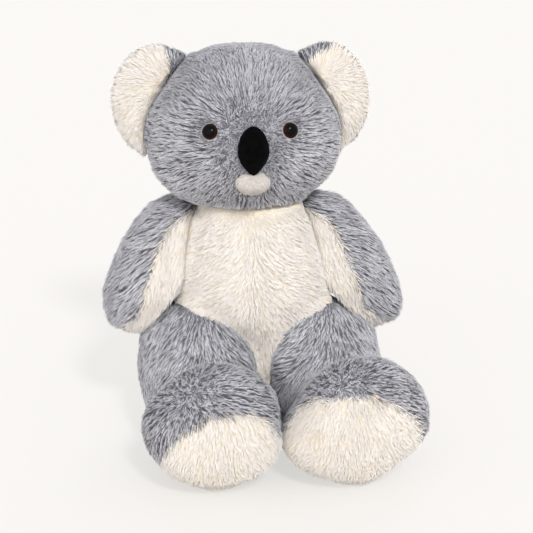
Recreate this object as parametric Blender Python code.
# Plush koala, seated, as its maker sews it: fur-cloth panels over stuffing, with safety eyes.
# Metres, +Z up. The toy looks along -Y; left and right are the toy's own, so left is +X.
# The origin is the middle of the floor that the seated toy covers.

import math

import bmesh
import bpy
from mathutils import Matrix, Vector

# Cloth, clearance and cutting sizes
cloth_thickness = 0.004
gap = 0.0003
sweep_gap = 0.0009
floor_flat_depth = 0.0005
cutter_reach = 0.6
cutter_overrun = 0.003

# Body
body_height = 0.266
body_half_width = 0.095
body_half_front = 0.080
body_half_back = 0.074
body_off_centre = 0.003
body_sides = 16
body_rings = 10
body_fullness_share = 0.80
body_girth_shares = ((0, 1.08), (0.2, 1.06), (0.38, 1.01), (0.57, 0.94), (0.8, 0.86), (1, 0.92))
neck_height = 0.246
bib_half_width = 0.100
bib_widest_height = 0.125
bib_lowest_height = 0.060
bib_seam_behind_front = 0.068

# Head
head_lowest = 0.228
head_top = 0.403
head_half_width = 0.0980
head_half_front = 0.082
head_half_back = 0.080
head_behind_body_axis = 0.003
head_off_centre = 0.0045
head_sides = 16
head_rings = 10
head_fullness_share = 0.84
head_girth_shares = ((0, 0.94), (0.3, 0.99), (0.45, 1.0), (0.7, 0.98), (1, 0.98))
muzzle_height = 0.300
muzzle_swell = 0.007
muzzle_radius = 0.042
face_seam_behind_axis = 0.004

# Nose and chin
nose_height = 0.049
nose_half_width = 0.0152
nose_half_depth = 0.0160
nose_centre_height = 0.3165
nose_seat_depth = 0.004
nose_girth_shares = ((0, 0.80), (0.3, 0.96), (0.5, 1.0), (0.7, 0.86), (1, 0.62))
chin_width = 0.0315
chin_half_height = 0.0130
chin_half_depth = 0.012
chin_height_share = 0.6045
chin_seat_depth = 0.003
trim_sides = 10
trim_rings = 7

# Safety eyes and their washers
eye_diameter = 0.0145
eye_dome_height = 0.0052
eye_rim_thickness = 0.0016
eye_spread = 0.0785
eye_centre_height = 0.332
eye_pocket_depth = 0.0012
eye_stem_diameter = 0.0034
eye_stem_length = 0.0150
eye_stem_rib = 0.0004
eye_stem_rib_count = 3
washer_diameter = 0.0130
washer_thickness = 0.0016
washer_depth_under_cloth = 0.0027
eye_sides = 12

# Ears
ear_height = 0.118
ear_half_width = 0.045
ear_half_thickness = 0.0170
ear_cloth_thickness = 0.0030
ear_centre_side = 0.0890
ear_centre_behind_axis = 0.012
ear_centre_height = 0.345
ear_lean_in_degrees = 12.0
ear_turn_degrees = 12.0
ear_seam_share = 0.15
ear_sides = 10
ear_rings = 6
ear_hinge_side = 0.0730
ear_hinge_height = 0.347
ear_hinge_lean_degrees = 22.0
ear_swing_degrees = 15.0
ear_girth_shares = ((0, 0.86), (0.5, 1.0), (1, 1.0))

# Arms
shoulder_side = 0.0640
shoulder_height = 0.206
shoulder_behind_axis = 0.004
seat_lean_degrees = 15.0
arm_above_shoulder = 0.037
arm_below_shoulder = 0.112
arm_half_width = 0.041
arm_half_depth = 0.039
arm_rest_swing_degrees = 12.0
arm_top_offset = 0.023
arm_hand_offset = 0.040
arm_lap_drop = 0.028
arm_lap_offset = 0.026
arm_seam_top_height = 0.012
arm_seam_top_offset = 0.014
arm_seam_hand_offset = 0.050
arm_sides = 10
arm_rings = 8
arm_fullness_share = 0.80
arm_girth_shares = ((0, 1.04), (0.3, 1.02), (0.6, 0.93), (1, 0.88))

# Legs
hip_side = 0.0615
hip_forward = 0.020
hip_height = 0.073
hip_ball_radius = 0.069
hip_half_width = 0.0585
leg_reach = 0.176
thigh_half_width = 0.0590
thigh_height = 0.136
heel_clearance = 0.0015
ankle_half_width = 0.0545
ankle_height = 0.104
foot_half_width = 0.0670
foot_height = 0.128
sole_rounding = 0.050
sole_fullness_share = 0.42
leg_turn_degrees = {"right": 5.5, "left": 13.0}
leg_sides = 12
leg_ball_rings = 3
leg_station_shares = (0.20, 0.42, 0.62, 0.80, 0.92)
leg_width_places = (0, 0.30, 0.62, 1)
leg_height_places = (0, 0.30, 0.60, 1)
leg_toe_rings = 4
leg_raise_degrees = 4.0
leg_drop_degrees = 35.0
leg_sweep_steps = 3
leg_sweep_reach = 0.090
sole_lean_degrees = 32.0
sole_seam_reach = 0.133

SIDES = (("left", 1), ("right", -1))


def smooth_value(points, at):
    """Read a smooth curve through (place, value) points."""
    places = [p[0] for p in points]
    values = [p[1] for p in points]
    slopes = []
    for i in range(len(points)):
        before = max(i - 1, 0)
        after = min(i + 1, len(points) - 1)
        slopes.append((values[after] - values[before]) / (places[after] - places[before]))
    i = max(k for k in range(len(points) - 1) if places[k] <= max(at, places[0]))
    span = places[i + 1] - places[i]
    s = min(max((at - places[i]) / span, 0), 1)
    start = (1 + 2 * s) * (1 - s) ** 2 * values[i] + s * (1 - s) ** 2 * span * slopes[i]
    end = s * s * (3 - 2 * s) * values[i + 1] - s * s * (1 - s) * span * slopes[i + 1]
    return start + end


def stuffed_loops(length, half_width, half_front, half_back, sides, rings, fullness, girths):
    """Rings of a stuffed form that stands on its lower tip: it swells by its girth shares."""
    loops = [[Vector((0, 0, 0))]]
    for i in range(1, rings):
        angle = math.pi * i / rings
        along = (1 - math.cos(angle)) / 2
        girth = math.sin(angle) ** fullness * smooth_value(girths, along)
        loop = []
        for j in range(sides):
            around = 2 * math.pi * (j + 0.5) / sides
            depth = half_back if math.sin(around) > 0 else half_front
            loop.append(Vector((half_width * girth * math.cos(around),
                                depth * girth * math.sin(around), length * along)))
        loops.append(loop)
    loops.append([Vector((0, 0, length))])
    return loops


def moved(loops, matrix):
    """The same rings in another place."""
    return [[matrix @ point for point in loop] for loop in loops]


def loft_mesh(name, loops, inset=0):
    """A closed mesh through rings whose first and last are single points, drawn in by inset."""
    bm = bmesh.new()
    rows = [[bm.verts.new(point) for point in loop] for loop in loops]
    for low, high in zip(rows, rows[1:]):
        count = max(len(low), len(high))
        for i in range(count):
            corners = []
            for row, k in ((low, i), (low, i + 1), (high, i + 1), (high, i)):
                corner = row[k % len(row)]
                if corner not in corners:
                    corners.append(corner)
            bm.faces.new(corners)
    bmesh.ops.recalc_face_normals(bm, faces=bm.faces)
    bm.normal_update()
    places = [v.co - v.normal * inset * v.calc_shell_factor() for v in bm.verts]
    for vert, place in zip(bm.verts, places):
        vert.co = place
    bmesh.ops.triangulate(bm, faces=bm.faces, quad_method="FIXED")
    mesh = bpy.data.meshes.new(name)
    bm.to_mesh(mesh)
    bm.free()
    return mesh


def add_object(name, mesh, frame):
    """Put a mesh in the scene, in the frame of the empty that carries it."""
    piece = bpy.data.objects.new(name, mesh)
    bpy.context.scene.collection.objects.link(piece)
    piece.parent = frame
    return piece


def add_frame(name, parent, matrix):
    """An empty on a joint's axis, which carries the pieces that move with it."""
    frame = bpy.data.objects.new(name, None)
    bpy.context.scene.collection.objects.link(frame)
    frame.parent = parent
    frame.matrix_local = matrix
    return frame


def add_cutter(name, mesh, frame):
    """A shape that only cuts others."""
    cutter = add_object(name, mesh, frame)
    cutter.hide_render = True
    cutter.display_type = "WIRE"
    return cutter


def half_space(name, frame, point, normal):
    """A block that fills the side of a plane to which the normal points."""
    bm = bmesh.new()
    bmesh.ops.create_cube(bm, size=cutter_reach)
    turn = Vector(normal).to_track_quat("Z", "Y").to_matrix().to_4x4()
    place = Matrix.Translation(Vector(point) + Vector(normal).normalized() * cutter_reach / 2)
    bmesh.ops.transform(bm, matrix=place @ turn, verts=bm.verts)
    mesh = bpy.data.meshes.new(name)
    bm.to_mesh(mesh)
    bm.free()
    return add_cutter(name, mesh, frame)


def trim(piece, cutter, operation="DIFFERENCE"):
    """Cut a piece by a shape, or keep only what lies inside it."""
    cut = piece.modifiers.new(cutter.name, "BOOLEAN")
    cut.operation = operation
    cut.solver = "EXACT"
    cut.object = cutter


def finish(piece, colour, roughness, metallic=0):
    """Give a piece its material and smooth shading with sharp seams."""
    material = bpy.data.materials.new(piece.name)
    material.use_nodes = True
    surface = material.node_tree.nodes["Principled BSDF"]
    surface.inputs["Base Color"].default_value = (*colour, 1)
    surface.inputs["Roughness"].default_value = roughness
    surface.inputs["Metallic"].default_value = metallic
    piece.data.materials.append(material)
    piece.data.shade_smooth()
    piece.data.set_sharp_from_angle(angle=math.radians(40))


def lofted(loops):
    """A form's skin at any depth under its surface, drawn in along its normals."""
    return lambda name, depth: loft_mesh(name, loops, depth)


def stuffed_form(frame, skin, thickness, panels, stuffing_name, cutters):
    """Sew panels of cloth round a stuffing. Each panel keeps its side of its seam cutter."""
    hollow = stuffing_name + "_room"
    inner = add_cutter(hollow, skin(hollow, thickness), frame)
    for name, colour, seam, operation in panels:
        panel = add_object(name, skin(name, 0), frame)
        trim(panel, seam, operation)
        trim(panel, inner)
        finish(panel, colour, 1.0)
        for cutter in cutters:
            trim(panel, cutter)
    core = add_object(stuffing_name, skin(stuffing_name, thickness + gap), frame)
    finish(core, WHITE_FIBRE, 1.0)
    for cutter in cutters:
        trim(core, cutter)
    return core


GREY_PLUSH = (0.355, 0.360, 0.385)
CREAM_PLUSH = (0.870, 0.820, 0.720)
WHITE_FIBRE = (0.900, 0.900, 0.880)
BLACK_VELOUR = (0.012, 0.012, 0.013)
CREAM_VELOUR = (0.880, 0.840, 0.760)
DARK_EYE = (0.020, 0.010, 0.006)
CLEAR_WASHER = (0.750, 0.750, 0.720)


def body_shape():
    """The body's rings: an egg that is widest low down, pressed flat where it sits."""
    loops = stuffed_loops(body_height + floor_flat_depth, body_half_width, body_half_front,
                          body_half_back, body_sides, body_rings, body_fullness_share,
                          body_girth_shares)
    loops[1] = [Vector((point.x, point.y, 0)) for point in loops[1]]
    return moved(loops, Matrix.Translation((body_off_centre, 0, -floor_flat_depth)))


def bib_cutter(name, frame, grow):
    """A bib-shaped prism that takes the belly panel out of the body's front."""
    top = neck_height + cutter_overrun
    half = bib_half_width + grow
    outline = []
    steps = 6
    for i in range(steps + 1):
        angle = -math.pi / 2 + math.pi / 2 * i / steps
        drop = bib_widest_height - bib_lowest_height + grow
        outline.append((half * math.cos(angle), bib_widest_height + drop * math.sin(angle)))
    outline.append((half, top))
    outline += [(-x, z) for x, z in reversed(outline[1:])]
    front = -body_half_front - cutter_reach / 2
    back = bib_seam_behind_front - body_half_front + grow
    bm = bmesh.new()
    rows = [[bm.verts.new((x, y, z)) for x, z in outline] for y in (front, back)]
    bm.faces.new(rows[0])
    bm.faces.new(list(reversed(rows[1])))
    for i in range(len(outline)):
        j = (i + 1) % len(outline)
        bm.faces.new((rows[0][i], rows[1][i], rows[1][j], rows[0][j]))
    bmesh.ops.recalc_face_normals(bm, faces=bm.faces)
    mesh = bpy.data.meshes.new(name)
    bm.to_mesh(mesh)
    bm.free()
    return add_cutter(name, mesh, frame)


def head_shape():
    """The head's rings in the neck's frame, with a low swelling for the muzzle."""
    loops = stuffed_loops(head_top - head_lowest, head_half_width, head_half_front,
                          head_half_back, head_sides, head_rings, head_fullness_share,
                          head_girth_shares)
    loops = moved(loops, Matrix.Translation((0, 0, head_lowest - neck_height)))
    return [[point + muzzle_push(point) for point in loop] for loop in loops]


def muzzle_push(point):
    """How far the muzzle pushes a point of the face forward."""
    if point.y > 0:
        return Vector((0, 0, 0))
    away = math.hypot(point.x, point.z + neck_height - muzzle_height) / muzzle_radius
    return Vector((0, -muzzle_swell * math.exp(-away * away), 0))


def on_face(side, height):
    """The point of the face at a place seen from the front, and its outward normal."""
    def place(x, z):
        along = (z + neck_height - head_lowest) / (head_top - head_lowest)
        girth = (2 * math.sqrt(along * (1 - along))) ** head_fullness_share
        girth *= smooth_value(head_girth_shares, along)
        across = x / (head_half_width * girth)
        point = Vector((x, -head_half_front * girth * math.sqrt(1 - across * across), z))
        return point + muzzle_push(point)
    centre = place(side, height - neck_height)
    step = cloth_thickness
    tangent_x = place(side + step, height - neck_height) - centre
    tangent_z = place(side, height - neck_height + step) - centre
    return centre, tangent_x.cross(tangent_z).normalized()


def turned_mesh(name, profile, sides):
    """A solid turned about Z from (radius, height) points that start and end on the axis."""
    loops = []
    for radius, height in profile:
        if radius == 0:
            loops.append([Vector((0, 0, height))])
            continue
        loops.append([Vector((radius * math.cos(2 * math.pi * i / sides),
                              radius * math.sin(2 * math.pi * i / sides), height))
                      for i in range(sides)])
    return loft_mesh(name, loops)


def eye_profile():
    """A safety eye from its stem's tip to its dome: ribbed stem, rim, then the clear dome."""
    stem = eye_stem_diameter / 2
    profile = [(0, -eye_stem_length), (stem - eye_stem_rib, -eye_stem_length)]
    pitch = eye_stem_length / (eye_stem_rib_count + 1)
    for i in range(eye_stem_rib_count):
        height = -eye_stem_length + pitch * (i + 0.5)
        profile.append((stem + eye_stem_rib, height))
        profile.append((stem - eye_stem_rib, height + pitch / 2))
    profile.append((stem, -eye_rim_thickness))
    radius = eye_diameter / 2
    profile.append((radius, -eye_rim_thickness))
    steps = 5
    for i in range(steps):
        angle = math.pi / 2 * i / steps
        profile.append((radius * math.cos(angle), eye_dome_height * math.sin(angle)))
    profile.append((0, eye_dome_height))
    return profile


def washer_mesh(name):
    """A flat ring with a bore for the stem."""
    bore = eye_stem_diameter / 2 + eye_stem_rib + gap
    outer = washer_diameter / 2
    profile = [(bore, 0), (outer, 0), (outer, -washer_thickness), (bore, -washer_thickness)]
    bm = bmesh.new()
    rows = []
    for i in range(eye_sides):
        angle = 2 * math.pi * i / eye_sides
        rows.append([bm.verts.new((r * math.cos(angle), r * math.sin(angle), z))
                     for r, z in profile])
    for i in range(eye_sides):
        here, there = rows[i], rows[(i + 1) % eye_sides]
        for k in range(len(profile)):
            m = (k + 1) % len(profile)
            bm.faces.new((here[k], there[k], there[m], here[m]))
    bmesh.ops.recalc_face_normals(bm, faces=bm.faces)
    mesh = bpy.data.meshes.new(name)
    bm.to_mesh(mesh)
    bm.free()
    return mesh


def make_eye(side_name, side, head, face, core):
    """An eye in a shallow pocket of the face, with its stem held by a washer behind the cloth."""
    point, normal = on_face(side * eye_spread / 2, eye_centre_height)
    centre = point - normal * (eye_pocket_depth - eye_rim_thickness)
    turn = normal.to_track_quat("Z", "Y").to_matrix().to_4x4()
    frame = add_frame(side_name + "_eye_frame", head, Matrix.Translation(centre) @ turn)
    eye = add_object(side_name + "_eye", turned_mesh("eye", eye_profile(), eye_sides), frame)
    finish(eye, DARK_EYE, 0.05)
    washer_top = -cloth_thickness - washer_depth_under_cloth
    washer = add_object(side_name + "_eye_washer", washer_mesh("washer"), frame)
    washer.location = (0, 0, washer_top)
    finish(washer, CLEAR_WASHER, 0.4)
    pocket_radius = eye_diameter / 2 + gap
    hole_radius = eye_stem_diameter / 2 + eye_stem_rib + gap
    floor = -eye_rim_thickness - gap
    top = eye_dome_height + cutter_overrun
    deep = -eye_stem_length - cutter_overrun
    profile = [(0, deep), (hole_radius, deep), (hole_radius, floor), (pocket_radius, floor),
               (pocket_radius, top), (0, top)]
    pocket = add_cutter(side_name + "_eye_pocket", turned_mesh("pocket", profile, eye_sides), frame)
    room_radius = washer_diameter / 2 + gap
    profile = [(0, -eye_stem_length - gap), (room_radius, -eye_stem_length - gap),
               (room_radius, 0), (0, 0)]
    room = add_cutter(side_name + "_washer_room", turned_mesh("room", profile, eye_sides), frame)
    profile = [(0, -eye_stem_length - gap), (room_radius, -eye_stem_length - gap),
               (room_radius, washer_top + gap), (0, washer_top + gap)]
    seat = add_cutter(side_name + "_washer_seat", turned_mesh("seat", profile, eye_sides), frame)
    trim(face, pocket)
    trim(face, seat)
    trim(core, room)


def make_trims(head, grown_head):
    """The stuffed nose and the chin patch, both cut where they sit on the face."""
    point, normal = on_face(0, nose_centre_height)
    loops = stuffed_loops(nose_height, nose_half_width, nose_half_depth, nose_half_depth,
                          trim_sides, trim_rings, 1, nose_girth_shares)
    centre = point - normal * nose_seat_depth
    loops = moved(loops, Matrix.Translation(centre - Vector((0, 0, nose_height / 2))))
    nose = add_object("nose", loft_mesh("nose", loops), head)
    finish(nose, BLACK_VELOUR, 0.9)
    trim(nose, grown_head)
    nose_room = add_cutter("nose_room", loft_mesh("nose_room", loops, -gap), head)
    chin_height = head_lowest + (nose_centre_height - head_lowest) * chin_height_share
    point, normal = on_face(0, chin_height)
    loops = stuffed_loops(chin_width, chin_half_height, chin_half_depth, chin_half_depth,
                          trim_sides, trim_rings, 1, ((0, 1), (1, 1)))
    centre = point - normal * chin_seat_depth
    lay = Matrix.Rotation(math.pi / 2, 4, "Y")
    place = Matrix.Translation(centre - Vector((chin_width / 2, 0, 0)))
    chin = add_object("chin_patch", loft_mesh("chin_patch", moved(loops, place @ lay)), head)
    finish(chin, CREAM_VELOUR, 0.9)
    trim(chin, grown_head)
    trim(chin, nose_room)


def make_head(root):
    """The head's two panels and stuffing, cut flat at the neck, and what it carries."""
    head = add_frame("neck_axis", root, Matrix.Translation((-head_off_centre, head_behind_body_axis,
                                                     neck_height)))
    loops = head_shape()
    neck_cut = half_space("neck_cut_head", head, (0, 0, gap / 2), (0, 0, -1))
    seam = face_seam_behind_axis
    face_side = half_space("face_side", head, (0, seam - gap / 2, 0), (0, -1, 0))
    back_side = half_space("crown_side", head, (0, seam + gap / 2, 0), (0, 1, 0))
    panels = (("face_panel", GREY_PLUSH, face_side, "INTERSECT"),
              ("head_back_panel", GREY_PLUSH, back_side, "INTERSECT"))
    core = stuffed_form(head, lofted(loops), cloth_thickness, panels, "head_stuffing", [neck_cut])
    face = bpy.data.objects["face_panel"]
    for name, side in SIDES:
        make_eye(name, side, head, face, core)
    return head, loops


def ear_skin(place):
    """An ear's thin round dish at any depth under its surface."""
    def skin(name, depth):
        half_thickness = ear_half_thickness - depth
        loops = stuffed_loops(ear_height - 2 * depth, ear_half_width - depth, half_thickness,
                              half_thickness, ear_sides, ear_rings, 1, ear_girth_shares)
        stand = Matrix.Translation((0, 0, depth - ear_height / 2))
        return loft_mesh(name, moved(loops, place @ stand))
    return skin


def make_ears(head, head_loops):
    """Each ear is a thin stuffed dish on a seam down the head's side, free to fold a little."""
    for name, side in SIDES:
        hinge_place = Vector((side * ear_hinge_side, ear_centre_behind_axis,
                              ear_hinge_height - neck_height))
        hinge_turn = Matrix.Rotation(math.radians(-side * ear_hinge_lean_degrees), 4, "Y")
        hinge = Matrix.Translation(hinge_place) @ hinge_turn
        frame = add_frame(name + "_ear_axis", head, hinge)
        centre = Vector((side * ear_centre_side, ear_centre_behind_axis,
                         ear_centre_height - neck_height))
        lean = Matrix.Rotation(math.radians(-side * ear_lean_in_degrees), 4, "Y")
        turn = Matrix.Rotation(math.radians(side * ear_turn_degrees), 4, "Z")
        to_hinge = hinge.inverted() @ Matrix.Translation(centre) @ turn @ lean
        front = to_hinge.to_3x3() @ Vector((0, -1, 0))
        seam_point = to_hinge @ Vector((0, -ear_half_thickness * ear_seam_share, 0))
        front_side = half_space(name + "_ear_front_side", frame, seam_point + front * gap / 2, front)
        back_side = half_space(name + "_ear_back_side", frame, seam_point - front * gap / 2, -front)
        cutters = []
        for step in (-1, 0, 1):
            swing = Matrix.Rotation(math.radians(ear_swing_degrees) * step, 4, "Z")
            mesh = loft_mesh(name + "_head_for_ear", moved(head_loops, swing @ hinge.inverted()),
                             -sweep_gap if step else -gap)
            cutters.append(add_cutter(name + "_head_for_ear_" + str(step + 1), mesh, frame))
        panels = ((name + "_ear_front", CREAM_PLUSH, front_side, "INTERSECT"),
                  (name + "_ear_back", GREY_PLUSH, back_side, "INTERSECT"))
        stuffed_form(frame, ear_skin(to_hinge), ear_cloth_thickness, panels,
                     name + "_ear_stuffing", cutters)


def make_arms(root):
    """Each arm lies against a flat seat on the body's side and swings about the seat's normal."""
    seats = []
    for name, side in SIDES:
        lean = Matrix.Rotation(math.radians(-side * seat_lean_degrees), 4, "Y")
        place = Matrix.Translation((side * shoulder_side, shoulder_behind_axis, shoulder_height))
        frame = add_frame(name + "_shoulder_axis", root, place @ lean)
        outward = Vector((side, 0, 0))
        length = arm_above_shoulder + arm_below_shoulder
        loops = stuffed_loops(length, arm_half_width, arm_half_depth, arm_half_depth, arm_sides,
                              arm_rings, arm_fullness_share, arm_girth_shares)
        slope = (arm_hand_offset - arm_top_offset) / arm_below_shoulder
        placed = []
        for loop in loops:
            row = []
            for point in loop:
                height = point.z - arm_below_shoulder
                row.append(Vector((side * (point.x + arm_top_offset - slope * height),
                                   point.y, height)))
            placed.append(row)
        swing = Matrix.Rotation(math.radians(-arm_rest_swing_degrees), 4, "X")
        placed = moved(placed, swing)
        seat_cut = half_space(name + "_seat_cut", frame, outward * gap / 2, -outward)
        lap_start = swing @ Vector((0, 0, -arm_lap_drop))
        lap_rise = Vector((-side * (arm_below_shoulder - arm_lap_drop), 0, -arm_lap_offset))
        lap_cut = half_space(name + "_lap_cut", frame, lap_start,
                             swing.to_3x3() @ lap_rise.normalized())
        seam_drop = arm_seam_top_height + arm_below_shoulder
        seam_width = arm_seam_hand_offset - arm_seam_top_offset
        middle = swing @ Vector((side * arm_seam_top_offset, 0, arm_seam_top_height))
        across = swing.to_3x3() @ Vector((side * seam_drop, 0, seam_width)).normalized()
        inner_side = half_space(name + "_arm_inner_side", frame, middle - across * gap / 2, -across)
        outer_side = half_space(name + "_arm_outer_side", frame, middle + across * gap / 2, across)
        panels = ((name + "_arm_inner_panel", CREAM_PLUSH, inner_side, "INTERSECT"),
                  (name + "_arm_outer_panel", GREY_PLUSH, outer_side, "INTERSECT"))
        stuffed_form(frame, lofted(placed), cloth_thickness, panels, name + "_arm_stuffing",
                     [seat_cut, lap_cut])
        seats.append(half_space(name + "_body_seat", frame, -outward * gap / 2, outward))
    return seats


def leg_shape():
    """A leg's rings from the ball at the hip, forward along -Y, to the round of the sole."""
    floor = -hip_height
    loops = [[Vector((0, hip_ball_radius, 0))]]
    for i in range(1, leg_ball_rings + 1):
        angle = math.pi / 2 * i / leg_ball_rings
        radius = hip_ball_radius * math.sin(angle)
        loops.append(oval(hip_ball_radius * math.cos(angle), hip_half_width * math.sin(angle),
                          -radius, radius))
    toe_start = leg_reach - sole_rounding
    widths = list(zip(leg_width_places,
                      (hip_half_width, thigh_half_width, ankle_half_width, foot_half_width)))
    tops = list(zip(leg_height_places,
                    (hip_ball_radius, floor + thigh_height, floor + ankle_height, floor + foot_height)))
    lows = list(zip(leg_height_places, (-hip_ball_radius, floor + heel_clearance, floor, floor)))
    for share in leg_station_shares:
        loops.append(oval(-toe_start * share, smooth_value(widths, share),
                          smooth_value(lows, share), smooth_value(tops, share)))
    middle = floor + foot_height / 2
    for i in range(leg_toe_rings):
        angle = math.pi / 2 * i / leg_toe_rings
        forward = toe_start + sole_rounding * math.sin(angle)
        girth = math.cos(angle) ** sole_fullness_share
        half = foot_height / 2 * girth
        loops.append(oval(-forward, foot_half_width * girth, middle - half, middle + half))
    loops.append([Vector((0, -leg_reach, middle))])
    return loops


def oval(y, half_width, low, high):
    """An upright ring at one place along the leg, with a flat side down and one up."""
    middle = (low + high) / 2
    half_height = (high - low) / 2 / math.cos(math.pi / leg_sides)
    ring = []
    for i in range(leg_sides):
        angle = 2 * math.pi * (i + 0.5) / leg_sides
        ring.append(Vector((half_width * math.cos(angle), y, middle + half_height * math.sin(angle))))
    return ring


def make_legs(root):
    """Each leg turns on a ball in the body's front corner. Returns the sweeps that clear it."""
    sweeps = []
    for name, side in SIDES:
        place = Matrix.Translation((side * hip_side, -hip_forward, hip_height - floor_flat_depth))
        turn = Matrix.Rotation(math.radians(leg_turn_degrees[name]), 4, "Z")
        frame = add_frame(name + "_hip_axis", root, place @ turn)
        loops = leg_shape()
        floor = half_space(name + "_leg_floor", frame,
                           (0, 0, floor_flat_depth - hip_height), (0, 0, -1))
        lean = math.radians(sole_lean_degrees)
        ahead = Vector((0, -math.cos(lean), -math.sin(lean)))
        sole_side = half_space(name + "_sole_side", frame, ahead * (sole_seam_reach + gap / 2), ahead)
        leg_side = half_space(name + "_leg_side", frame, ahead * (sole_seam_reach - gap / 2), -ahead)
        panels = ((name + "_leg_panel", GREY_PLUSH, leg_side, "INTERSECT"),
                  (name + "_sole", CREAM_PLUSH, sole_side, "INTERSECT"))
        stuffed_form(frame, lofted(loops), cloth_thickness, panels, name + "_leg_stuffing", [floor])
        sweeps.append(leg_sweep(name, frame, loops))
    return sweeps


def leg_sweep(name, frame, loops):
    """The room that the thigh takes over its whole swing, as one convex cutter."""
    leg = loft_mesh(name + "_grown_leg", loops, -sweep_gap)
    thigh = [vert.co for vert in leg.vertices if vert.co.y > -leg_sweep_reach]
    bm = bmesh.new()
    for step in range(leg_sweep_steps + 1):
        share = step / leg_sweep_steps
        degrees = leg_raise_degrees * share - leg_drop_degrees * (1 - share)
        swing = Matrix.Rotation(math.radians(-degrees), 4, "X")
        for place in thigh:
            bm.verts.new(swing @ place)
    result = bmesh.ops.convex_hull(bm, input=bm.verts)
    loose = [v for v in result["geom_interior"] if isinstance(v, bmesh.types.BMVert)]
    bmesh.ops.delete(bm, geom=loose, context="VERTS")
    bmesh.ops.recalc_face_normals(bm, faces=bm.faces)
    mesh = bpy.data.meshes.new(name + "_leg_sweep")
    bm.to_mesh(mesh)
    bm.free()
    return add_cutter(name + "_leg_sweep", mesh, frame)


def make_body(root, seats, sweeps):
    """The belly and back panels round the body's stuffing, cut for the neck, arms and legs."""
    neck_cut = half_space("neck_cut_body", root, (0, 0, neck_height - gap / 2), (0, 0, 1))
    floor_cut = half_space("floor_cut", root, (0, 0, 0), (0, 0, -1))
    bib = bib_cutter("bib", root, -gap / 2)
    bib_room = bib_cutter("bib_room", root, gap / 2)
    panels = (("belly_panel", CREAM_PLUSH, bib, "INTERSECT"),
              ("back_panel", GREY_PLUSH, bib_room, "DIFFERENCE"))
    stuffed_form(root, lofted(body_shape()), cloth_thickness, panels, "body_stuffing",
                 [neck_cut, floor_cut] + seats + sweeps)


def centre_on_floor(root):
    """Move the whole toy so that its box is centred over the origin."""
    bpy.context.view_layer.update()
    graph = bpy.context.evaluated_depsgraph_get()
    xs, ys = [], []
    for piece in bpy.context.scene.objects:
        if piece.type != "MESH" or piece.hide_render:
            continue
        shape = piece.evaluated_get(graph)
        for vert in shape.data.vertices:
            place = shape.matrix_world @ vert.co
            xs.append(place.x)
            ys.append(place.y)
    root.location = (-(min(xs) + max(xs)) / 2, -(min(ys) + max(ys)) / 2, 0)
    bpy.context.view_layer.update()


def main():
    for piece in list(bpy.data.objects):
        bpy.data.objects.remove(piece)
    root = add_frame("koala", None, Matrix.Identity(4))
    head, head_loops = make_head(root)
    grown_head = add_cutter("grown_head", loft_mesh("grown_head", head_loops, -gap), head)
    make_trims(head, grown_head)
    make_ears(head, head_loops)
    seats = make_arms(root)
    sweeps = make_legs(root)
    make_body(root, seats, sweeps)
    centre_on_floor(root)


main()
